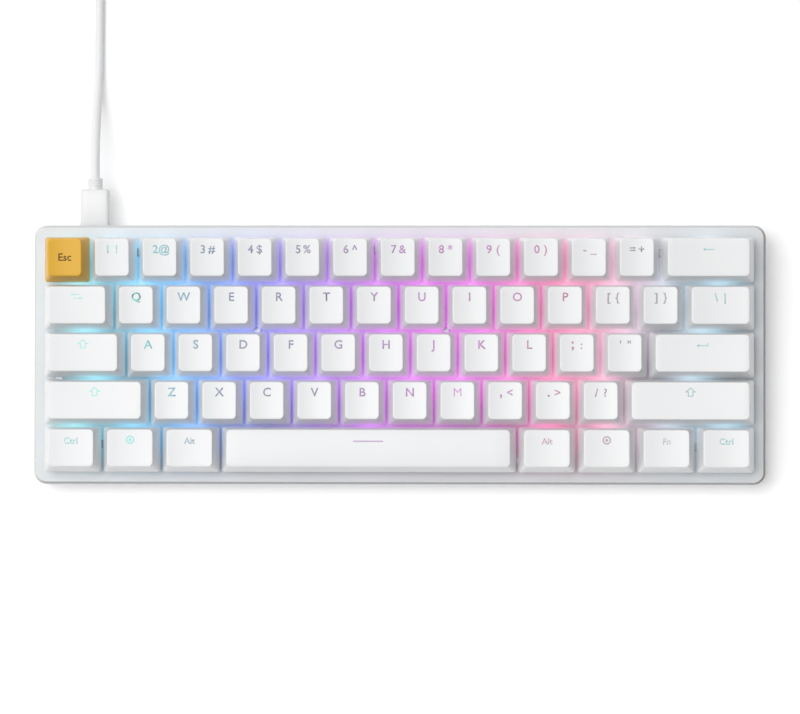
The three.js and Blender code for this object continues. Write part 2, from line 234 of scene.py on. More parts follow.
def paint_legend(mesh, faintness):
    """Stores on a legend's points the backlight that shows through it, painted as its colour and
    made paler by its faintness.
    """
    store_backlight(mesh, lambda place: ramp(LEGEND_STOPS, place).lerp(PALE_LEGEND, faintness))


# ---- shader helpers


class Socket:
    """A node's output with the arithmetic used here."""

    def __init__(self, maker, link):
        self.maker = maker
        self.link = link

    def _math(self, operation, *values):
        return self.maker.node("ShaderNodeMath", {"operation": operation}, values)

    def __add__(self, other):
        return self._math("ADD", self, other)

    def __mul__(self, other):
        return self._math("MULTIPLY", self, other)

    def __sub__(self, other):
        return self._math("SUBTRACT", self, other)

    def __rsub__(self, other):
        return self._math("SUBTRACT", other, self)

    __radd__ = __add__
    __rmul__ = __mul__


class Nodes:
    """A node tree and the one call that adds to it."""

    def __init__(self, tree):
        self.tree = tree

    def node(self, kind, settings=None, values=(), output=0):
        """Adds a node, sets it up and returns one of its outputs. values is a list or a dict."""
        made = self.tree.nodes.new(kind)
        for key, value in (settings or {}).items():
            setattr(made, key, value)
        for key, value in values.items() if isinstance(values, dict) else enumerate(values):
            self.feed(made.inputs[key], value)
        return Socket(self, made.outputs[output]) if made.outputs else None

    def feed(self, target, value):
        """Links a socket's value, or sets it."""
        if isinstance(value, Socket):
            self.tree.links.new(value.link, target)
        else:
            target.default_value = value


class Finish(Nodes):
    """One material and the calls that build its nodes."""

    def __init__(self, name):
        self.name = name
        self.material = bpy.data.materials.new(name)
        self.material.use_nodes = True
        super().__init__(self.material.node_tree)
        self.surface = self.tree.nodes["Principled BSDF"]

    def noise(self, scale, detail=2.0):
        """Noise on the piece's own coordinates."""
        return self.node("ShaderNodeTexNoise", {}, {
            "Vector": self.node("ShaderNodeTexCoord", output="Object"), "Scale": scale,
            # Backlight painted on the plate as a glow: full among the keys, fading across the
            # border.
            "Detail": detail, "Roughness": 0.5,
        })

    def tint(self, factor, colour, fade):
        """The colour, mixed with a darker one by the factor."""
        return self.node("ShaderNodeMix", {"data_type": "RGBA"}, {
            0: factor, 6: (*colour, 1), 7: (*shaded(colour, fade), 1),
        }, output=2)

    def bump(self, height, distance, strength):
        return self.node("ShaderNodeBump", {}, {
            "Height": height, "Distance": distance, "Strength": strength,
        })

    def set(self, **sockets):
        for key, value in sockets.items():
            self.feed(self.surface.inputs[key.replace("_", " ")], value)
        return self

    def stored(self):
        """The colour stored on the piece's points."""
        return self.node("ShaderNodeAttribute", {"attribute_name": "backlight"})

    def glow(self, strength):
        """Gives off the backlight stored on the piece's points; on everything but the lamps this
        is painted backlight.
        """
        return self.set(Emission_Color=self.stored(), Emission_Strength=strength)


def shaded(colour, share):
    """A colour made a little darker."""
    return tuple(part * share for part in colour)


def moulded(name, colour, roughness, grain=900.0, depth=0.00004, fade=0.97, **sockets):
    """Moulded plastic: faint clouding of its colour, uneven gloss and a fine grain."""
    made = Finish(name)
    cloud = made.noise(38.0, 3.0)
    grained = made.noise(grain)
    return made.set(
        Base_Color=made.tint(cloud, colour, fade),
        Roughness=cloud * 0.08 + grained * 0.06 + (roughness - 0.07),
        Normal=made.bump(grained, depth, 0.6),
        **sockets,
    )


def metal(name, colour, roughness, scale=900.0, fade=0.88, uneven=0.2):
    """Bare metal with a slightly uneven gloss."""
    made = Finish(name)
    worn = made.noise(scale, 3.0)
    return made.set(
        Base_Color=made.tint(worn, colour, fade),
        Metallic=1.0, Roughness=worn * uneven + roughness,
    )


def painted_metal(colour):
    """The plate's satin face, with the backlight of the switches painted on it as a glow."""
    made = Finish("plate_metal")
    fine = made.noise(1500.0)
    broad = made.noise(22.0)
    made.set(
        Base_Color=made.tint(broad, colour, 0.955),
        Metallic=0.12,
        Roughness=fine * 0.14 + broad * 0.08 + 0.38,
        Normal=made.bump(fine, 0.00003, 0.5),
    )
    return made.glow(1.0)


def lit_ink():
    """Legends, with the backlight through them painted into their base colour and a faint glow,
    from the colour stored on their points.
    """
    made = Finish("legend")
    painted_backlight = made.stored()
    return made.set(
        Base_Color=painted_backlight, Emission_Color=painted_backlight, Emission_Strength=0.08,
        Roughness=made.noise(900.0) * 0.1 + 0.3,
    )


def build_finishes(settings):
    """Every material, by name."""
    housing = moulded("housing", (0.78, 0.80, 0.86), 0.28, grain=500.0)
    floor = Finish("floor").set(
        Base_Color=(0.93, 0.93, 0.935, 1), Roughness=0.9, Specular_IOR_Level=0.1,
        Emission_Color=(1, 1, 1, 1), Emission_Strength=FLOOR_LIFT,
    )
    made = [
        # The caps give off painted backlight on their lower sides; the amber cap gives off a fifth
        # as much.
        moulded("cap_white", settings.cap_colour, 0.42, Specular_IOR_Level=0.45).glow(1.0),
        moulded(
            "cap_amber", settings.accent_colour, 0.40, fade=0.93, Specular_IOR_Level=0.3,
        ).glow(0.2),
        lit_ink(),
        moulded("legend_dark", (0.10, 0.055, 0.01), 0.5),
        painted_metal(settings.plate_colour),
        metal("plate_edge", (0.90, 0.905, 0.91), 0.2, scale=300.0, fade=0.96, uneven=0.06),
        moulded("case_plastic", settings.case_colour, 0.45),
        # The housings give off painted backlight.
        housing.glow(1.0),
        moulded("stem", (0.34, 0.15, 0.06), 0.35),
        moulded("lamp", (0.9, 0.9, 0.9), 0.3).glow(2.5),
        moulded("board", (0.012, 0.03, 0.022), 0.4),
        moulded("rubber", (0.035, 0.035, 0.038), 0.82, grain=1400.0, depth=0.0001),
        moulded("lead_jacket", settings.lead_colour, 0.5, grain=700.0),
        moulded("plug_white", shaded(settings.lead_colour, 0.973), 0.38),
        moulded("plug_insert", (0.78, 0.79, 0.80), 0.4),
        metal("steel", (0.66, 0.67, 0.69), 0.2, scale=600.0),
        metal("screw_zinc", (0.46, 0.47, 0.50), 0.28, scale=600.0),
        metal("contact_gold", (0.85, 0.6, 0.25), 0.2),
        floor,
    ]
    return {finish.name: finish.material for finish in made}


FINISHES = {}

# ---- mesh helpers


def mm(*sizes):
    """A point given in millimetres."""
    return Vector(sizes) * MM


@contextmanager
def editing(mesh):
    """A mesh opened for changes, which are written back at the end."""
    work = bmesh.new()
    work.from_mesh(mesh)
    yield work
    work.to_mesh(mesh)
    work.free()


def linked(name, data):
    """A new object in the scene."""
    thing = bpy.data.objects.new(name, data)
    bpy.context.scene.collection.objects.link(thing)
    return thing


def evaluated(thing):
    """The plain mesh that an object comes to. The object and its data are removed."""
    graph = bpy.context.evaluated_depsgraph_get()
    mesh = bpy.data.meshes.new_from_object(thing.evaluated_get(graph))
    data = thing.data
    bpy.data.objects.remove(thing)
    (bpy.data.meshes if isinstance(data, bpy.types.Mesh) else bpy.data.curves).remove(data)
    return mesh


def add_piece(name, mesh, body, finish, slot=None, smooth=None):
    """Puts a finished mesh into the scene on its body. smooth is an angle in degrees."""
    mesh.materials.clear()
    mesh.materials.append(FINISHES[finish])
    piece = linked(name, mesh)
    if smooth is not None:
        shade_by_angle(mesh, smooth)
    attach(piece, body)
    return piece


def shade_by_angle(mesh, degrees):
    """Smooth shading, broken at edges sharper than the angle."""
    limit = math.radians(degrees)
    with editing(mesh) as work:
        for face in work.faces:
            face.smooth = True
        for edge in work.edges:
            faces = edge.link_faces
            edge.smooth = len(faces) == 2 and faces[0].normal.angle(faces[1].normal, 0) < limit


def facing_out(mesh):
    """The mesh, its faces turned outwards."""
    with editing(mesh) as work:
        bmesh.ops.recalc_face_normals(work, faces=work.faces[:])
    return mesh


def mesh_from(name, points, faces):
    mesh = bpy.data.meshes.new(name)
    mesh.from_pydata([tuple(p) for p in points], [], faces)
    mesh.update()
    return mesh


def rounded_ring(half_x, half_y, radius, along_x=3, along_y=3, arc=5):
    """Points round a rounded rectangle, counter-clockwise from above, always in the same order."""
    turns = [math.radians(90 * step / arc) for step in range(arc + 1)]
    corners = [
        [(side_x * (half_x - radius) + radius * math.cos(start + turn),
          side_y * (half_y - radius) + radius * math.sin(start + turn)) for turn in turns]
        for side_x, side_y, start in (
            (1, -1, -math.pi / 2), (1, 1, 0), (-1, 1, math.pi / 2), (-1, -1, math.pi),
        )
    ]
    points = []
    for index, corner in enumerate(corners):
        points += corner
        (x0, y0), (x1, y1) = corner[-1], corners[(index + 1) % 4][0]
        straight = along_x if index % 2 else along_y
        for step in range(1, straight + 1):
            share = step / (straight + 1)
            points.append((x0 + (x1 - x0) * share, y0 + (y1 - y0) * share))
    return points


def skin(rings, *centres):
    """Points and faces of a closed skin through rings, the upper lid first.

    centres are the middles of both lids. Without them a lid is one face."""
    count = len(rings[0])
    points = [p for ring in rings for p in ring]
    last = len(points) - count
    faces = []
    for a in range(last):
        b = a + 1 if (a + 1) % count else a + 1 - count
        faces.append((a, a + count, b + count, b))
    if not centres:
        return points, faces + [tuple(range(count)), tuple(range(last + count - 1, last - 1, -1))]
    middle = len(points)
    faces += [(middle, i, (i + 1) % count) for i in range(count)]
    faces += [(middle + 1, last + (i + 1) % count, last + i) for i in range(count)]
    return [*points, *centres], faces


def refined(node, width, segments=2, angle=30.0, reshape=None):
    """A copy of a node's mesh, welded and with its edges softly rounded."""
    mesh = frame["nodes"][node].data.copy()
    with editing(mesh) as work:
        bmesh.ops.remove_doubles(work, verts=work.verts[:], dist=2e-6)
        if reshape:
            for vertex in work.verts:
                vertex.co = reshape(vertex.co)
            work.normal_update()
        bmesh.ops.dissolve_limit(
            work, angle_limit=math.radians(0.5), verts=work.verts[:], edges=work.edges[:],
        )
        sharp = [e for e in work.edges
                 if len(e.link_faces) == 2 and e.calc_face_angle(0) > math.radians(angle)]
        bmesh.ops.bevel(
            work, geom=sharp, offset=width, segments=segments, profile=0.5, affect="EDGES",
            clamp_overlap=True,
        )
    return mesh


def box_mesh(name, low, high, bevel=0.0, segments=2):
    """A block from corner to corner in millimetres, its edges rounded."""
    mesh = bpy.data.meshes.new(name)
    with editing(mesh) as work:
        bmesh.ops.create_cube(work, size=1.0)
        for vertex in work.verts:
            for axis in range(3):
                vertex.co[axis] = (low if vertex.co[axis] < 0 else high)[axis] * MM
        if bevel > 0:
            bmesh.ops.bevel(
                work, geom=work.edges[:], offset=bevel * MM, segments=segments, profile=0.5,
                affect="EDGES", clamp_overlap=True,
            )
    return mesh


def joined(name, meshes):
    """Several closed shells as one mesh."""
    made = bpy.data.meshes.new(name)
    with editing(made) as work:
        for mesh in meshes:
            work.from_mesh(mesh)
    for mesh in meshes:
        bpy.data.meshes.remove(mesh)
    return made


def carved(mesh, cutters):
    """mesh with the cutters taken out of it."""
    name = mesh.name
    holder = linked("carving", mesh)
    tools = [linked("cutter", cutter) for cutter in cutters]
    for tool in tools:
        modifier = holder.modifiers.new("cut", "BOOLEAN")
        modifier.operation = "DIFFERENCE"
        modifier.solver = "EXACT"
        modifier.object = tool
    made = evaluated(holder)
    for tool in tools:
        bpy.data.objects.remove(tool)
    made.name = name
    return made


# ---- geometry nodes


def repeat_tree(name, finish):
    """A tree that sets one shape on every point, turned, and gives it its material."""
    group = bpy.data.node_groups.new(name, "GeometryNodeTree")
    for socket, kind in (("Points", "Geometry"), ("Shape", "Object"), ("Turn", "Vector"),
                         ("Size", "Float")):
        group.interface.new_socket(socket, in_out="INPUT", socket_type="NodeSocket" + kind)
    group.interface.new_socket("Result", in_out="OUTPUT", socket_type="NodeSocketGeometry")
    tree = Nodes(group)
    given = {s.name: Socket(tree, s) for s in group.nodes.new("NodeGroupInput").outputs}
    shape = tree.node(
        "GeometryNodeObjectInfo", {}, {"Object": given["Shape"]}, output="Geometry",
    )
    spread = tree.node("GeometryNodeInstanceOnPoints", {}, {
        "Points": given["Points"], "Instance": shape, "Rotation": given["Turn"],
        "Scale": given["Size"],
    })
    real = tree.node("GeometryNodeRealizeInstances", {}, {"Geometry": spread})
    coated = tree.node("GeometryNodeSetMaterial", {}, {"Geometry": real, "Material": finish})
    tree.node("NodeGroupOutput", {}, {"Result": coated})
    return group


def repeated(name, shape_mesh, points, finish, slot, turn=None):
    """One mesh on the case with shape_mesh at each deck point, made by Geometry Nodes."""
    places = [DECK @ point for point in points]
    shape = linked(name + "_shape", shape_mesh)
    carrier = linked(name + "_points", mesh_from(name + "_points", places, []))
    tree = repeat_tree(name + "_tree", FINISHES[finish])
    modifier = carrier.modifiers.new("repeat", "NODES")
    modifier.node_group = tree
    names = {s.name: s.identifier for s in tree.interface.items_tree if s.in_out == "INPUT"}
    modifier[names["Shape"]] = shape
    modifier[names["Turn"]] = turn or (DECK.to_euler().x, 0.0, 0.0)
    modifier[names["Size"]] = 1.0
    mesh = evaluated(carrier)
    mesh.name = name
    bpy.data.objects.remove(shape)
    bpy.data.node_groups.remove(tree)
    return add_piece(name, mesh, CASE_BODY, finish, slot)


# ---- settings


def length(name, description, default):
    return bpy.props.FloatProperty(
        name=name, description=description, default=default, unit="LENGTH",
    )


def colour(name, description, default):
    return bpy.props.FloatVectorProperty(
        name=name, description=description, subtype="COLOR", size=3, min=0, max=1,
        default=default,
    )


class KeyboardSettings(bpy.types.PropertyGroup):
    """Sizes and colours that a user would change."""

    cap_base: length("Cap base", "Width of a one-unit cap at its skirt", 18.1 * MM)
    cap_top_width: length("Cap top width", "Width of a one-unit cap's top face", 13.2 * MM)
    cap_top_depth: length("Cap top depth", "Depth of a cap's top face", 14.6 * MM)
    cap_back_shift: length(
        "Cap set-back", "How far the top face sits behind the skirt's middle", 0.65 * MM)
    cap_skirt: length("Skirt height", "Height of a cap's lower edge above the plate", 6.4 * MM)
    dish: length("Dish", "Depth of the hollow across a cap's top", 0.6 * MM)
    edge_round: length("Edge rounding", "Radius between a cap's top and its sides", 0.42 * MM)
    legend_height: length("Legend height", "Height of a capital letter", 3.4 * MM)
    lead_length: length("Lead length", "Length of the lead between its two plugs", 1.5)
    lead_diameter: length("Lead diameter", "Outer diameter of the lead", 3.7 * MM)
    cap_colour: colour("Cap colour", "Colour of the plain keycaps", (0.75, 0.755, 0.762))
    accent_colour: colour(
        "Accent colour", "Colour of the escape key's cap", (0.71, 0.395, 0.032))
    plate_colour: colour("Plate colour", "Colour of the metal plate", (0.605, 0.62, 0.635))
    case_colour: colour(
        "Case colour", "Colour of the lower case and its feet", (0.80, 0.81, 0.82))
    lead_colour: colour("Lead colour", "Colour of the lead and its plugs", (0.74, 0.745, 0.75))


# ---- stage

CAMERA_TARGET = Vector((0.00042, -0.00153, 0.020))
CAMERA_DISTANCE = 1.75
CAMERA_ELEVATION = math.radians(85.5)
CAMERA_SIDE = 0.050
CAMERA_ROLL = 0.0032
CAMERA_FOCAL = 4350 / 800  # focal length in frame widths


class KEYBOARD_OT_camera(bpy.types.Operator):
    """Places the camera, seen from almost straight above"""

    bl_idname = "keyboard.camera"
    bl_label = "Camera"

    def execute(self, context):
        camera = bpy.data.cameras.new("camera")
        camera.sensor_fit = "HORIZONTAL"
        camera.sensor_width = 36.0
        camera.lens = CAMERA_FOCAL * camera.sensor_width
        camera.clip_end = 20.0
        eye = CAMERA_TARGET + Vector((
            CAMERA_SIDE,
            -CAMERA_DISTANCE * math.cos(CAMERA_ELEVATION),
            CAMERA_DISTANCE * math.sin(CAMERA_ELEVATION),
        ))
        forward = (CAMERA_TARGET - eye).normalized()
        right = forward.cross(Vector((0, 1, 0))).normalized()
        up = right.cross(forward)
        tilted = right * math.cos(CAMERA_ROLL) + up * math.sin(CAMERA_ROLL)
        upward = up * math.cos(CAMERA_ROLL) - right * math.sin(CAMERA_ROLL)
        holder = linked("camera", camera)
        turn = Matrix((tilted, upward, -forward)).transposed()
        holder.matrix_world = Matrix.Translation(eye) @ turn.to_4x4()
        context.scene.camera = holder
        return {"FINISHED"}


KEY_LIGHT = Vector((-1.35, 0.32, 4.8))
FLOOR_REACH = 6.0


class KEYBOARD_OT_stage(bpy.types.Operator):
    """Lays the pale floor and sets the soft studio light"""

    bl_idname = "keyboard.stage"
    bl_label = "Floor and light"

    def execute(self, context):
        mesh = mesh_from("floor", [
            (x * FLOOR_REACH, y * FLOOR_REACH, 0) for x, y in ((-1, -1), (1, -1), (1, 1), (-1, 1))
        ], [(0, 1, 2, 3)])
        mesh.materials.append(FINISHES["floor"])
        linked("floor", mesh)
        lamp = bpy.data.lights.new("key_light", "AREA")
        lamp.shape = "RECTANGLE"
        lamp.size = lamp.size_y = 3.0
        lamp.energy = 156.0
        holder = linked("key_light", lamp)
        holder.location = KEY_LIGHT
        holder.rotation_euler = (-KEY_LIGHT).to_track_quat("-Z", "Y").to_euler()
        world = bpy.data.worlds.new("studio")
        world.use_nodes = True
        room = Nodes(world.node_tree)
        aim = room.node("ShaderNodeTexCoord", output="Generated")
        side = room.node(
            "ShaderNodeVectorMath", {"operation": "DOT_PRODUCT"}, [aim, (-0.87, 0.48, 0.12)],
            "Value",
        )
        level = room.node("ShaderNodeMapRange", {}, {
            "Value": side, "From Min": -0.9, "From Max": 0.9, "To Min": 0.22, "To Max": 0.86,
        })
        background = world.node_tree.nodes["Background"]
        room.feed(background.inputs["Color"], (1, 1, 1, 1))
        room.feed(background.inputs["Strength"], level)
        context.scene.world = world
        context.scene.view_settings.view_transform = "Standard"
        return {"FINISHED"}


# ---- lead

LEAD_REST = 1.9 * MM
COIL_OUTER = 30.4 * MM
COIL_INNER = 11.6 * MM
COIL_LAYER = 5  # turns in each of the two layers
COIL_TURNS = 2 * COIL_LAYER + 0.25
# Where the lead comes down to the desk: behind the deck's middle and up, in millimetres
LEAD_FALL = ((96, 11.4), (108, 5.4), (117, 2.7), (126, 1.95), (142, 1.9))
SOCKET_DEPTH = -8.75 * MM
SOCKET_X = -123.7 * MM
PLUG_OUT = 14.9 * MM
RELIEF_OUT = 4.6 * MM
TIE_PLACE = math.radians(-35)  # round the coil


def plug_tip():
    """Where the lead leaves its strain relief."""
    return DECK @ Vector((SOCKET_X, PLATE_SIZE.y / 2 + PLUG_OUT + RELIEF_OUT, SOCKET_DEPTH))


def smooth_route(points, spacing):
    """A centripetal curve through the points, sampled at the spacing."""
    ends = [points[0] * 2 - points[1]] + points + [points[-1] * 2 - points[-2]]
    out = []
    for p0, p1, p2, p3 in zip(ends, ends[1:], ends[2:], ends[3:]):
        t1 = (p1 - p0).length ** 0.5
        t2 = t1 + (p2 - p1).length ** 0.5
        t3 = t2 + (p3 - p2).length ** 0.5
        steps = max(2, round((p2 - p1).length / spacing))
        for step in range(steps):
            share = step / steps
            t = t1 + (t2 - t1) * share
            middle = p1.lerp(p2, share)
            before = p0.lerp(p1, t / t1).lerp(middle, t / t2)
            after = middle.lerp(p2.lerp(p3, (t - t2) / (t3 - t2)), (t - t1) / (t3 - t1))
            out.append(before.lerp(after, share))
    return [*out, points[-1]]


def eased(share):
    """0 to 1 with a gentle start and end."""
    return share * share * (3 - 2 * share)


def lead_route(settings):
    """The whole centreline, from the strain relief through the coil to the computer's plug."""
    low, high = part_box("lead_coil")
    centre = (low + high) / 2
    tip = plug_tip()
    along = (DECK.to_3x3() @ Vector((0, 1, 0))).normalized()
    first = [tip, tip + along * 9 * MM]
    for y, z in LEAD_FALL:
        first.append(Vector((tip.x, y * MM + DECK.translation.y, z * MM)))
    for before in (12 * MM, 0):
        first.append(Vector((tip.x, centre.y - before, LEAD_REST)))
    route = smooth_route(first, 2.5 * MM)
    steps = round(COIL_TURNS * 44)
    lift = settings.lead_diameter + 0.02 * MM
    drop = (COIL_OUTER - COIL_INNER) / COIL_LAYER
    for step in range(1, steps + 1):
        turn = COIL_TURNS * step / steps
        radius = min(COIL_INNER + drop * abs(turn - COIL_LAYER), COIL_OUTER)
        rise = min(max((turn - COIL_LAYER + 0.25) / 0.5, 0), 1)
        angle = math.pi - math.tau * turn
        route.append(Vector((
            centre.x + radius * math.cos(angle), centre.y + radius * math.sin(angle),
            LEAD_REST + lift * eased(rise),
        )))
    start = route[-1]
    end = Vector((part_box("computer_plug")[0].x + 1 * MM, start.y, 4.0 * MM))
    for step in range(1, 8):
        point = start.lerp(end, step / 8)
        point.z = start.z + (end.z - start.z) * eased(step / 8)
        route.append(point)
    return [*route, end]


def route_length(route):
    return sum((b - a).length for a, b in zip(route, route[1:]))


def tube_curve(name, route, radius, resolution):
    """A round tube along a route."""
    curve = bpy.data.curves.new(name, "CURVE")
    curve.dimensions = "3D"
    curve.bevel_depth = radius
    curve.bevel_resolution = resolution
    curve.use_fill_caps = True
    spline = curve.splines.new("POLY")
    spline.points.add(len(route) - 1)
    for point, place in zip(spline.points, route):
        point.co = (*place, 1)
    return curve


def lathe_along(name, stations, axis, origin, sides=20):
    """A turned shape: stations are (distance, radius) along a level axis, in millimetres."""
    up = Vector((0, 0, 1))
    across = axis.cross(up).normalized()
    origin = Vector(origin)
    rings = []
    for distance, radius in reversed(stations):
        rings.append([
            (origin + axis * distance + across * radius * math.cos(math.tau * side / sides)
             - up * radius * math.sin(math.tau * side / sides)) * MM for side in range(sides)
        ])
    ends = [(origin + axis * stations[end][0]) * MM for end in (-1, 0)]
    return facing_out(mesh_from(name, *skin(rings, *ends)))


def plug_shell(name, half_x, half_z, corner, stations):
    """A rounded box lofted along +Y: stations are (y, inset), in millimetres."""
    rings = []
    for y, inset in reversed(stations):
        ring = rounded_ring(half_x - inset, half_z - inset, max(corner - inset, 0.3))
        rings.append([mm(px, y, -pz) for px, pz in ring])
    return mesh_from(name, *skin(rings))


class KEYBOARD_OT_lead(bpy.types.Operator):
    """Makes the lead with its coil and both plugs"""

    bl_idname = "keyboard.lead"
    bl_label = "Lead"

    def execute(self, context):
        settings = context.scene.keyboard
        route = lead_route(settings)
        curve = tube_curve("lead", route, settings.lead_diameter / 2, 3)
        curve.materials.append(FINISHES["lead_jacket"])
        lead = linked("lead_run", curve)
        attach(lead, CASE_BODY)
        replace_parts(lead, "lead", "lead_coil")
        tuple(route[0])
        route_length(route)
        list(self.board_plug())
        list(self.computer_plug())
        self.tie(settings)
        return {"FINISHED"}

    def add_parts(self, node, *parts):
        """Adds (mesh, finish, slot) parts, the first of which stands for the frame's node. The
        slot is not used.
        """
        pieces = [add_piece(mesh.name, mesh, CASE_BODY, finish, slot, 40)
                  for mesh, finish, slot in parts]
        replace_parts(pieces[0], node)
        return pieces

    def board_plug(self):
        """The overmould that stands behind the case, its strain relief and metal tongue."""
        back = PLATE_SIZE.y / 2 / MM
        out = back + PLUG_OUT / MM
        body = plug_shell("plug_body", 5.9, 3.2, 1.5, [
            (back - 1.9, 0.35), (back - 1.4, 0), (out - 0.9, 0), (out - 0.5, 0.12),
            (out - 0.15, 0.45), (out, 0.9),
        ])
        relief = [(-0.6, 3.05)]
        for groove in (1.2, 2.3, 3.4):
            relief += [(groove - 0.2, 3.05), (groove - 0.12, 2.75), (groove + 0.12, 2.75),
                       (groove + 0.2, 3.05)]
        relief += [(4.25, 3.05), (4.5, 2.9), (4.6, 2.6), (4.6, 1.9)]
        sleeve = lathe_along("plug_relief", relief, Vector((0, 1, 0)), (0, out, 0))
        tongue = box_mesh(
            "plug_tongue", (-4.12, back - 8.2, -1.2), (4.12, back - 1.8, 1.2), 1.0, 4,
        )
        for mesh in (body, sleeve, tongue):
            mesh.transform(DECK @ Matrix.Translation((SOCKET_X, 0, SOCKET_DEPTH)))
        return self.add_parts(
            "lead_plug", (body, "plug_white", "plug_plastic"),
            (sleeve, "lead_jacket", "lead_jacket"), (tongue, "steel", "socket_steel"),
        )

    def computer_plug(self):
        """The plug at the far end, lying beside the coil."""
        low, high = (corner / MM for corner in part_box("computer_plug"))
        y = (low.y + high.y) / 2
        z = 4.0
        start, end = low.x + 12, low.x + 40
        body = plug_shell("usb_body", 8, 4, 1.9, [
            (start, 1.6), (start + 0.5, 0.9), (start + 1.4, 0.25), (start + 2.6, 0),
            (end - 0.9, 0), (end - 0.4, 0.15), (end, 0.7),
        ])
        body.transform(
            Matrix.Translation(mm(0, y, z)) @ Matrix.Rotation(-math.pi / 2, 4, "Z")
        )
        relief = [(0.4, 1.9), (0.5, 2.45)]
        for ridge in range(5):
            at, wide = 0.9 + ridge * 2.1, 2.55 + 0.08 * ridge
            relief += [(at, wide), (at + 1.3, wide), (at + 1.45, wide - 0.4),
                       (at + 1.95, wide - 0.4)]
        relief += [(11.6, 2.95), (12.4, 2.95)]
        sleeve = lathe_along("usb_relief", relief, Vector((1, 0, 0)), (low.x, y, z))
        insert = box_mesh("usb_insert", (end - 1, y - 5.4, 2.35), (high.x - 0.6, y + 5.4, 4.1),
                          0.15)
        contacts = joined("usb_contacts", [
            box_mesh("contact", (high.x - 8.5, y + offset - 0.5, 4.05),
                     (high.x - 1.2, y + offset + 0.5, 4.2), 0.05, 1)
            for offset in (-3.5, -1.0, 1.0, 3.5)
        ])
        return self.add_parts(
            "computer_plug", (body, "plug_white", "plug_plastic"),
            (sleeve, "lead_jacket", "lead_jacket"),
            (self.usb_shell(end, high.x, y, z), "steel", "socket_steel"),
            (insert, "plug_insert", "plug_plastic"),
            (contacts, "contact_gold", "socket_steel"),
        )

    def usb_shell(self, start, end, y, z):
        """The metal sleeve with its four windows, open at the end."""
        outer = box_mesh("usb_shell", (start - 1, y - 6, z - 2.25), (end, y + 6, z + 2.25), 0.4)
        cuts = [box_mesh("cut", (start + 0.5, y - 5.65, z - 1.9), (end + 2, y + 5.65, z + 1.9))]
        for side in (-2.5, 2.5):
            cuts.append(box_mesh("cut", (start + 8, y + side - 1.2, z - 3),
                                 (start + 10.4, y + side + 1.2, z + 3)))
        return carved(outer, cuts)

    def tie(self, settings):
        """A soft strap round the coil's turns."""
        low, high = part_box("lead_coil")
        centre = (low + high) / 2
        half = (COIL_OUTER - COIL_INNER) / 2 + settings.lead_diameter / 2 + 0.15 * MM
        tall = (high.z - low.z) / 2
        width = 5 * MM
        outer = rounded_ring(half + 0.45 * MM, tall + 0.05 * MM, 1.7 * MM)
        inner = rounded_ring(half, tall - 0.35 * MM, 1.4 * MM)
        points = [
            Vector((x, at, z)) for ring, at in (
                (inner, width / 2), (outer, width / 2), (outer, -width / 2), (inner, -width / 2),
            ) for x, z in ring
        ]
        count = len(outer)
        faces = []
        for ring in range(4):
            here, there = ring * count, (ring + 1) % 4 * count
            for i in range(count):
                after = (i + 1) % count
                faces.append((here + i, here + after, there + after, there + i))
        mesh = facing_out(mesh_from("coil_tie", points, faces))
        mesh.transform(
            Matrix.Translation((centre.x, centre.y, tall + 0.05 * MM))
            @ Matrix.Rotation(TIE_PLACE, 4, "Z")
            @ Matrix.Translation(((COIL_OUTER + COIL_INNER) / 2, 0, 0))
        )
        return add_piece("coil_tie", mesh, CASE_BODY, "rubber", "pad_rubber", 40)


# ---- keys

ROW_HEIGHT = [11.2 * MM, 9.6 * MM, 9.0 * MM, 9.4 * MM, 9.4 * MM]
ROW_LEAN = [math.radians(a) for a in (5, 2.5, 0, -3, -3)]
SPACE_CROWN = 0.5 * MM
CAP_WALL = 1.35 * MM
TOP_CORNER = 1.4 * MM
EDGE_CORNER = 1.5 * MM
EDGE_STEPS = 5


def cap_surface(key, settings):
    """A function that gives the height of a cap's top at x and y from the cap's middle."""
    half_x = settings.cap_top_width / 2 + (key["units"] - 1) * PITCH / 2
    half_y = settings.cap_top_depth / 2
    top = settings.cap_skirt + ROW_HEIGHT[key["row"]]
    lean = math.tan(ROW_LEAN[key["row"]])
    crowned = key["units"] > 6

    def height(x, y):
        rest = y - settings.cap_back_shift
        if crowned:
            shape = -SPACE_CROWN * (rest / half_y) ** 2
        else:
            shape = settings.dish * (x / half_x) ** 2
        return top + rest * lean + shape

    return height


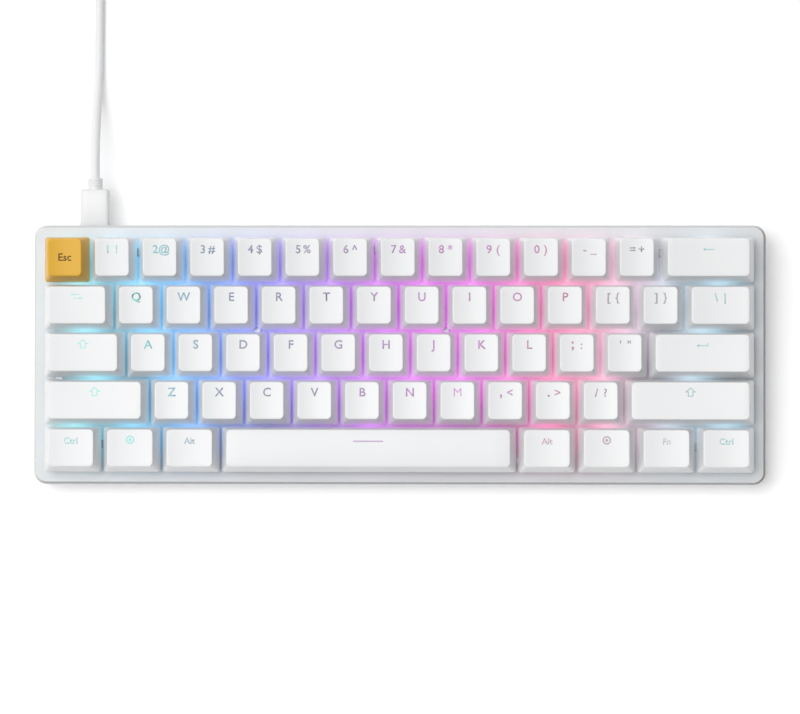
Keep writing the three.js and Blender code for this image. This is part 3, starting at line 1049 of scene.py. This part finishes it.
def cap_mesh(key, settings):
    """A hollow cap with sloping sides, rounded edges and a dished top, on the deck."""
    extra = (key["units"] - 1) * PITCH / 2
    along_x = 3 if key["units"] < 1.5 else min(15, 3 + round(4 * key["units"]))
    shift = settings.cap_back_shift
    height = cap_surface(key, settings)
    skirt = settings.cap_skirt
    rounding = settings.edge_round
    top_x = settings.cap_top_width / 2 + extra
    top_y = settings.cap_top_depth / 2
    base = settings.cap_base / 2

    def level(half_x, half_y, radius, z, back=0.0):
        return [Vector((x, y + back, z)) for x, y in rounded_ring(half_x, half_y, radius, along_x)]

    def on_top(half_x, half_y, radius, sink=0.0):
        ring = level(half_x, half_y, radius, 0, shift)
        return [Vector((p.x, p.y, height(p.x, p.y) - sink)) for p in ring]

    rings = [
        on_top((top_x - rounding) * share, (top_y - rounding) * share, TOP_CORNER * share)
        for share in (0.18, 0.38, 0.58, 0.76, 0.9)
    ]
    for step in range(EDGE_STEPS + 1):
        angle = math.pi / 2 * (1 - step / EDGE_STEPS)
        inset = rounding * (1 - math.cos(angle)) - 0.18 * MM
        rings.append(on_top(
            top_x - inset, top_y - inset, EDGE_CORNER + rounding * math.cos(angle) * 0.6,
            rounding * (1 - math.sin(angle)),
        ))
    shoulder = rings[-1]
    foot = level(base + extra, base, 1.15 * MM, skirt)
    for share in (0.25, 0.5, 0.72, 0.88):
        rings.append([a.lerp(b, share) for a, b in zip(shoulder, foot)])
    rings.append([p + mm(0, 0, 0.12) for p in foot])
    for inset, corner in ((0.12 * MM, 1.05 * MM), (CAP_WALL, 0.5 * MM)):
        rings.append(level(base + extra - inset, base - inset, corner, skirt))
    ceiling = skirt + ROW_HEIGHT[key["row"]] - 2.2 * MM
    rings.append(level(top_x - CAP_WALL, top_y - CAP_WALL, 0.8 * MM, ceiling, shift))
    centres = [Vector((0, shift, z)) for z in (height(0, shift), ceiling)]
    return standing_at(mesh_from("cap", *skin(rings, *centres)), key)


def cap_glow(key, settings):
    """How much backlight is painted on a cap as a glow: on its lower sides, and inside its skirt.
    """
    def level(place):
        up = (place.z - settings.cap_skirt) / ROW_HEIGHT[key["row"]]
        side = max(0.0, 1 - up) ** 2.2
        outside = abs(place.x) > 141.5 * MM or abs(place.y) > 46.5 * MM
        lit = glow_level(place.x, place.y) * (OUTER_SHARE if outside else 1.0)
        return CAP_SIDE_GLOW * side * lit

    return level


KEY_NAMES = {"-_": "minus", "=+": "equals"}


def key_label(key):
    """A plain name for a key's pieces."""
    mark = key["mark"]
    group, _, rest = key["body"].partition("_")
    if group == "key":
        return rest
    if group == "number":
        return KEY_NAMES.get(mark, mark[0])
    return f"{mark.lower()}_{rest}"


def stabiliser_reach(key):
    """How far each side of a wide key's middle its stabilisers stand, or nothing."""
    if key["units"] < 2:
        return None
    return 50.0 * MM if key["units"] > 6 else 11.9 * MM


def stem_mesh(key, settings):
    """What stands under a cap: the switch's slider, and one in each stabiliser of a wide key."""
    ceiling = (settings.cap_skirt + ROW_HEIGHT[key["row"]] - 2.3 * MM) / MM
    places = [(0.0, 2.7, 1.0)]
    reach = stabiliser_reach(key)
    if reach:
        places += [(-reach / MM, 1.9, 4.6), (reach / MM, 1.9, 4.6)]
    parts = []
    for x, half, foot in places:
        for half_x, half_y, low, high in (
            (half, half, foot, 7.2), (1.9, 0.65, 7.2, ceiling), (0.65, 1.9, 7.2, ceiling),
        ):
            parts.append(box_mesh("part", (x - half_x, -half_y, low),
                                  (x + half_x, half_y, high), 0.15, 1))
    return standing_at(joined("stem", parts), key)


class KEYBOARD_OT_caps(bpy.types.Operator):
    """Makes the keycaps and the sliders that carry them"""

    bl_idname = "keyboard.caps"
    bl_label = "Keycaps"

    def execute(self, context):
        settings = context.scene.keyboard
        stood_for = set()
        for key in KEYS:
            label = key_label(key)
            mesh = cap_mesh(key, settings)
            # Painted backlight, strongest low on the cap's sides.
            paint_glow(mesh, cap_glow(key, settings))
            accent = key["mark"] == "Esc"
            cap = add_piece("cap_" + label, mesh, key["body"],
                            "cap_amber" if accent else "cap_white",
                            "cap_accent" if accent else "cap_white", 50)
            if key["body"] not in stood_for:
                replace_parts(cap, key["body"])
                stood_for.add(key["body"])
        for body in sorted(stood_for):
            meshes = [stem_mesh(key, settings) for key in KEYS if key["body"] == body]
            add_piece("stem_" + body, joined("stem_" + body, meshes), body, "stem",
                      "stem_plastic")
        return {"FINISHED"}


# ---- legends


def text_mesh(text, size):
    """Flat lettering about its own middle in x, its foot on y = 0."""
    curve = bpy.data.curves.new("lettering", "FONT")
    curve.body = text
    curve.size = size
    curve.align_x = "CENTER"
    curve.resolution_u = 3
    curve.offset = 0 if "M" in text else size * 0.012  # the notch of an M closes up if thickened
    return evaluated(linked("lettering", curve))


def outline_mesh(loops):
    """Flat shapes, each a closed list of x and y in millimetres, filled where single."""
    curve = bpy.data.curves.new("symbol", "CURVE")
    curve.dimensions = "2D"
    curve.fill_mode = "BOTH"
    for loop in loops:
        spline = curve.splines.new("POLY")
        spline.points.add(len(loop) - 1)
        for point, (x, y) in zip(spline.points, loop):
            point.co = (x * MM, y * MM, 0, 1)
        spline.use_cyclic_u = True
    return evaluated(linked("symbol", curve))


def arrow_up_outline(width, height, line):
    """A hollow upward arrow, as an outer and an inner loop."""
    half = width / 2
    stem = width * 0.24
    shoulder = height * 0.46
    outer = [(-stem, 0), (stem, 0), (stem, shoulder), (half, shoulder), (0, height),
             (-half, shoulder), (-stem, shoulder)]
    slope = math.hypot(half, height - shoulder) / half
    reach = half - line * (1 + slope) * half / (height - shoulder)
    inner = [(-stem + line, line), (stem - line, line), (stem - line, shoulder + line),
             (reach, shoulder + line), (0, height - slope * line),
             (-reach, shoulder + line), (-stem + line, shoulder + line)]
    return [outer, inner]


def arrow_left(x0, x1, y, line, head):
    """A thin arrow that points left, as one loop."""
    return [(x0, y), (x0 + head, y + head * 0.7), (x0 + head, y + line / 2),
            (x1, y + line / 2), (x1, y - line / 2), (x0 + head, y - line / 2),
            (x0 + head, y - head * 0.7)]


def symbol_mesh(mark):
    """The symbols that aren't lettering, about x = 0 with their foot on y = 0."""
    loops = []
    if mark == "arrow_back":
        loops = [arrow_left(-2.3, 2.3, 1.5, 0.34, 1.0)]
    elif mark == "arrow_enter":
        loops = [arrow_left(-2.3, 2.3, 1.3, 0.34, 1.0)]
        loops[0][3:4] = [(1.96, 1.47), (1.96, 2.3), (2.3, 2.3)]
    elif mark == "arrow_tab":
        upper = arrow_left(-1.9, 1.5, 2.5, 0.3, 0.85)
        lower = [(-x, 3.5 - y) for x, y in upper]
        loops = [upper, lower, [(-2.25, 1.8), (-2.0, 1.8), (-2.0, 3.2), (-2.25, 3.2)],
                 [(2.0, 0.3), (2.25, 0.3), (2.25, 1.7), (2.0, 1.7)]]
    elif mark in ("arrow_caps", "arrow_shift"):
        loops = arrow_up_outline(4.7, 3.7, 0.40)
    elif mark == "bar":
        loops = [[(-6, 1.2), (6, 1.2), (6, 1.78), (-6, 1.78)]]
    elif mark == "system":
        turns = [math.tau * i / 28 for i in range(28)]
        loops = [[(radius * math.cos(turn), 1.6 + radius * math.sin(turn)) for turn in turns]
                 for radius in (1.7, 1.15, 0.6)]
    return outline_mesh(loops) if loops else None


PAIR_SPREAD = 1.75 * MM
CAPITAL_SHARE = 0.70  # a capital's height as a share of the lettering's size
LEGEND_DROP = 5.6 * MM
LEGEND_PROUD = 0.035 * MM


def legend_parts(mark, size):
    """The flat shapes that make up a legend, each with its shift across the cap."""
    symbol = symbol_mesh(mark)
    if symbol:
        return [(symbol, 0.0)]
    if len(mark) == 2 and mark != "Fn":
        grown = 1.3 if mark[0] in ",.;" else 0.94
        return [(text_mesh(mark[0], size * grown), -PAIR_SPREAD),
                (text_mesh(mark[1], size * 0.94), PAIR_SPREAD)]
    share = 1 if len(mark) == 1 else 0.86 if mark == "Esc" else 0.72
    return [(text_mesh(mark, size * share), 0.0)]


def legend_mesh(key, settings):
    """A key's legend laid on its dished top, on the deck."""
    mark = key["mark"]
    foot = settings.cap_top_depth / 2 + settings.cap_back_shift - LEGEND_DROP
    if mark == "Esc":
        foot = settings.cap_back_shift - settings.legend_height * 0.4
    if mark == "bar":
        foot -= 0.4 * MM
    height = cap_surface(key, settings)
    legend = bpy.data.meshes.new("legend")
    with editing(legend) as work:
        for part, across in legend_parts(mark, settings.legend_height / CAPITAL_SHARE):
            part.transform(Matrix.Translation((across, foot, 0)))
            work.from_mesh(part)
            bpy.data.meshes.remove(part)
        bmesh.ops.triangulate(work, faces=work.faces[:])
        bmesh.ops.recalc_face_normals(work, faces=work.faces[:])
        if sum(face.normal.z for face in work.faces) < 0:
            bmesh.ops.reverse_faces(work, faces=work.faces[:])
        top = bmesh.ops.extrude_face_region(work, geom=work.faces[:])
        raised = {v for v in top["geom"] if isinstance(v, bmesh.types.BMVert)}
        for vertex in work.verts:
            x, y = vertex.co.xy
            proud = LEGEND_PROUD if vertex in raised else -LEGEND_PROUD
            vertex.co = (x + key["x"], y + key["y"], height(x, y) + proud)
        bmesh.ops.recalc_face_normals(work, faces=work.faces[:])
    legend.transform(DECK)
    return legend


class KEYBOARD_OT_legends(bpy.types.Operator):
    """Lays the lit legends on the caps"""

    bl_idname = "keyboard.legends"
    bl_label = "Legends"

    def execute(self, context):
        settings = context.scene.keyboard
        for key in KEYS:
            mesh = legend_mesh(key, settings)
            paint_legend(mesh, FAINTNESS.get(key["mark"], 0.0))
            dark = key["mark"] == "Esc"
            add_piece("legend_" + key_label(key), mesh, key["body"],
                      "legend_dark" if dark else "legend", None if dark else "legend")
        return {"FINISHED"}


# ---- plate and switches

SCREWS = [
    (-105.4, 41.2), (-137.0, 9.525 - 19.05), (-119.5, -36.0), (-57.0, 9.525), (-9.6, 42.4),
    (19.0, 9.525), (47.4, -42.6), (104.8, 41.0), (118.9, -37.0),
]


def plate_glow(place):
    """Backlight on the plate: full among the keys, fading across the border."""
    over = max(abs(place.x) - 141.0 * MM, abs(place.y) - 46.2 * MM, 0.0)
    fade = math.exp(-(over / (1.2 * MM)) ** 1.5)
    return glow_level(place.x, place.y) * (0.03 + 0.97 * fade) * PLATE_GLOW


def sliced(mesh, spacing):
    """The mesh cut by a grid of planes square to the deck, so that it can hold a smooth glow."""
    mesh.transform(DECK_BACK)
    with editing(mesh) as work:
        for axis, half in ((0, PLATE_SIZE.x / 2), (1, PLATE_SIZE.y / 2)):
            count = int(2 * half / spacing)
            for step in range(1, count):
                place = Vector((0, 0, 0))
                normal = Vector((0, 0, 0))
                place[axis] = -half + 2 * half * step / count
                normal[axis] = 1
                bmesh.ops.bisect_plane(
                    work, geom=work.verts[:] + work.edges[:] + work.faces[:],
                    plane_co=place, plane_no=normal, dist=1e-7,
                )
    mesh.transform(DECK)
    return mesh


RIM_DROP = 0.58 * MM
RIM_WIDTH = 2.2 * MM


def flatter_rim(point):
    """Lays the plate's polished chamfer flatter, so that it shows the room and not the desk."""
    place = DECK_BACK @ point
    if -1.4 * MM < place.z < -0.5 * MM:
        place.z = -RIM_DROP
    return DECK @ place


def crease_level_faces(mesh, up):
    """Breaks the shading round every face square to up, so that it looks flat."""
    with editing(mesh) as work:
        for edge in work.edges:
            level = [face.normal.dot(up) > 0.9998 for face in edge.link_faces]
            if any(level) and not all(level):
                edge.smooth = False


class KEYBOARD_OT_plate(bpy.types.Operator):
    """Makes the metal plate and its screws"""

    bl_idname = "keyboard.plate"
    bl_label = "Plate"

    def execute(self, context):
        mesh = sliced(refined("top_plate", 0.1 * MM, reshape=flatter_rim), 4.0 * MM)
        # The plate gets painted backlight, which it gives off as a glow.
        paint_glow(mesh, plate_glow)
        plate = add_piece("plate", mesh, CASE_BODY, "plate_metal", "plate_metal", 30)
        mesh.materials.append(FINISHES["plate_edge"])
        up = DECK.to_3x3() @ Vector((0, 0, 1))
        for face in mesh.polygons:
            place = DECK_BACK @ face.center
            out = max(abs(place.x) - PLATE_SIZE.x / 2, abs(place.y) - PLATE_SIZE.y / 2)
            if out > -RIM_WIDTH and 0.2 < face.normal.dot(up) < 0.97:
                face.material_index = 1
        crease_level_faces(mesh, up)
        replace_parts(plate, "top_plate")
        points = [mm(x, y, 0) for x, y in SCREWS]
        repeated("plate_screws", screw_mesh(1.65, 0.55), points, "screw_zinc", "screw_steel")
        return {"FINISHED"}


def screw_mesh(radius, height):
    """A cross-head screw in millimetres, its head standing on z = 0."""
    sides = 20
    rings = []
    for inset, z in ((0.55, height), (0.15, height * 0.9), (0.0, height * 0.45), (0.0, -height)):
        reach = radius * (1 - inset)
        rings.append([mm(reach * math.cos(math.tau * i / sides),
                         reach * math.sin(math.tau * i / sides), z) for i in range(sides)])
    arm, narrow = radius * 0.62, radius * 0.17
    return carved(mesh_from("screw", *skin(rings)), [
        box_mesh("slot", (-x, -y, height * 0.35), (x, y, height * 3))
        for x, y in ((arm, narrow), (narrow, arm))
    ])


def tower(name, stations):
    """A closed shell through level rounded rings: half width, half depth, height and corner."""
    rings = [
        [Vector((x, y, z * MM)) for x, y in
         rounded_ring(half_x * MM, half_y * MM, corner * MM, 1, 1, 2)]
        for half_x, half_y, z, corner in stations
    ]
    return mesh_from(name, *skin(rings))


def housing_mesh():
    """One switch housing above and below the plate, open at the top for its slider."""
    return tower("housing", [(half, half, z, corner) for half, z, corner in (
        (3.3, -3.6, 0.3), (3.3, 6.45, 0.3), (3.45, 6.6, 0.3), (5.1, 6.6, 0.7), (5.3, 6.4, 0.8),
        (6.9, 2.2, 0.8), (7.55, 1.25, 0.6), (7.75, 1.1, 0.6), (7.75, 0.32, 0.6),
        (6.9, 0.3, 0.4), (6.85, -3.0, 0.4), (6.3, -4.8, 0.4),
    )])


def stabiliser_mesh():
    """The guide that steadies one end of a wide key, open at the top for its slider."""
    return tower("stabiliser", [
        (2.3, 2.3, 0.5, 0.3), (2.3, 2.3, 5.6, 0.3), (2.45, 2.45, 5.75, 0.3),
        (3.1, 4.6, 5.75, 0.5), (3.3, 4.9, 5.5, 0.6), (3.4, 5.9, 1.6, 0.6), (3.4, 6.6, 1.5, 0.4),
        (3.4, 6.6, 0.02, 0.4),
    ])


def wire_mesh(key):
    """The bent wire between a wide key's two stabilisers."""
    reach = stabiliser_reach(key) / MM
    route = [mm(side * x, y, 1.0) for side, x, y in (
        (-1, reach, -5.0), (-1, reach, -7.4), (-1, reach - 0.8, -8.2),
        (1, reach - 0.8, -8.2), (1, reach, -7.4), (1, reach, -5.0),
    )]
    wire = tube_curve("wire", route, 0.75 * MM, 2)
    return standing_at(evaluated(linked("wire", wire)), key)


class KEYBOARD_OT_switches(bpy.types.Operator):
    """Makes the switch housings with their lamps, and the wide keys' stabilisers"""

    bl_idname = "keyboard.switches"
    bl_label = "Switches"

    def execute(self, context):
        points = [Vector((key["x"], key["y"], 0)) for key in KEYS]
        housings = repeated("switch_row", housing_mesh(), points, "housing", "switch_plastic")
        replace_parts(housings, "switch_housings")
        # The housings get painted backlight, stronger towards the plate.
        paint_glow(housings.data, lambda p: HOUSING_GLOW * max(0.0, 1 - p.z / (9 * MM)))
        shade_by_angle(housings.data, 35)
        lamp = box_mesh("lamp", (-1.6, -0.6, 0), (1.6, 0.6, 0.5), 0.15, 1)
        points = [Vector((x, y + 1.55 * MM, 3.6 * MM)) for x, y in LAMPS]
        lamps = repeated("lamps", lamp, points, "lamp", "backlight",
                         (DECK.to_euler().x - LAMP_LEAN, 0, 0))
        paint_glow(lamps.data, lambda p: 1.0)
        wide = [key for key in KEYS if stabiliser_reach(key)]
        points = [Vector((key["x"] + side * stabiliser_reach(key), key["y"], 0))
                  for key in wide for side in (-1, 1)]
        guides = repeated("stabilisers", stabiliser_mesh(), points, "housing", "switch_plastic")
        # The stabiliser guides get half as much painted backlight as the plate around them.
        paint_glow(guides.data, lambda p: 0.5 * glow_level(p.x, p.y) * HOUSING_GLOW)
        shade_by_angle(guides.data, 35)
        add_piece("stabiliser_wires", joined("stabiliser_wires", [wire_mesh(k) for k in wide]),
                  CASE_BODY, "steel", "screw_steel", 40)
        return {"FINISHED"}


LAMP_LEAN = math.radians(69)  # the lamps lie on the housings' sloping backs

# ---- case and feet


class KEYBOARD_OT_case(bpy.types.Operator):
    """Makes the case, its pads and feet, and finishes the board and socket"""

    bl_idname = "keyboard.case"
    bl_label = "Case and feet"

    def execute(self, context):
        self.soften("case_shell", "bottom_case", CASE_BODY, 0.5, "case_plastic", 3, 40)
        for node in ("front_pad_left", "front_pad_right", "rear_pad_left", "rear_pad_right"):
            self.soften(node.replace("pad", "sole"), node, CASE_BODY, 0.25, "rubber")
        for side in ("left", "right"):
            node = "flip_foot_" + side
            self.soften("foot_" + side, node, node, 0.3, "case_plastic")
        for node, finish in (("circuit_board", "board"), ("usb_socket", "steel")):
            mesh = frame["nodes"][node].data
            mesh.materials.clear()
            mesh.materials.append(FINISHES[finish])
        return {"FINISHED"}

    def soften(self, name, node, body, width, finish, segments=2, angle=30):
        """Makes a piece from the frame's node with its edges rounded."""
        slot = "pad_rubber" if finish == "rubber" else finish
        mesh = refined(node, width * MM, segments, angle)
        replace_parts(add_piece(name, mesh, body, finish, slot, 30), node)


# ---- add-on

STEPS = (
    KEYBOARD_OT_camera, KEYBOARD_OT_lead, KEYBOARD_OT_caps, KEYBOARD_OT_legends,
    KEYBOARD_OT_plate, KEYBOARD_OT_switches, KEYBOARD_OT_case, KEYBOARD_OT_stage,
)


class KEYBOARD_PT_build(bpy.types.Panel):
    """Lists the sizes and the steps that build the keyboard"""

    bl_idname = "KEYBOARD_PT_build"
    bl_label = "Keyboard"
    bl_space_type = "VIEW_3D"
    bl_region_type = "UI"
    bl_category = "Keyboard"

    def draw(self, context):
        column = self.layout.column()
        for name in KeyboardSettings.__annotations__:
            column.prop(context.scene.keyboard, name)
        for step in STEPS:
            column.operator(step.bl_idname)


CLASSES = (KeyboardSettings, *STEPS, KEYBOARD_PT_build)


def register():
    for cls in CLASSES:
        bpy.utils.register_class(cls)
    bpy.types.Scene.keyboard = bpy.props.PointerProperty(type=KeyboardSettings)


def unregister():
    del bpy.types.Scene.keyboard
    for cls in reversed(CLASSES):
        bpy.utils.unregister_class(cls)


def main():
    register()
    FINISHES.update(build_finishes(bpy.context.scene.keyboard))
    for step in STEPS:
        group, name = step.bl_idname.split(".")
        getattr(getattr(bpy.ops, group), name)()


if __name__ == "__main__":
    main()
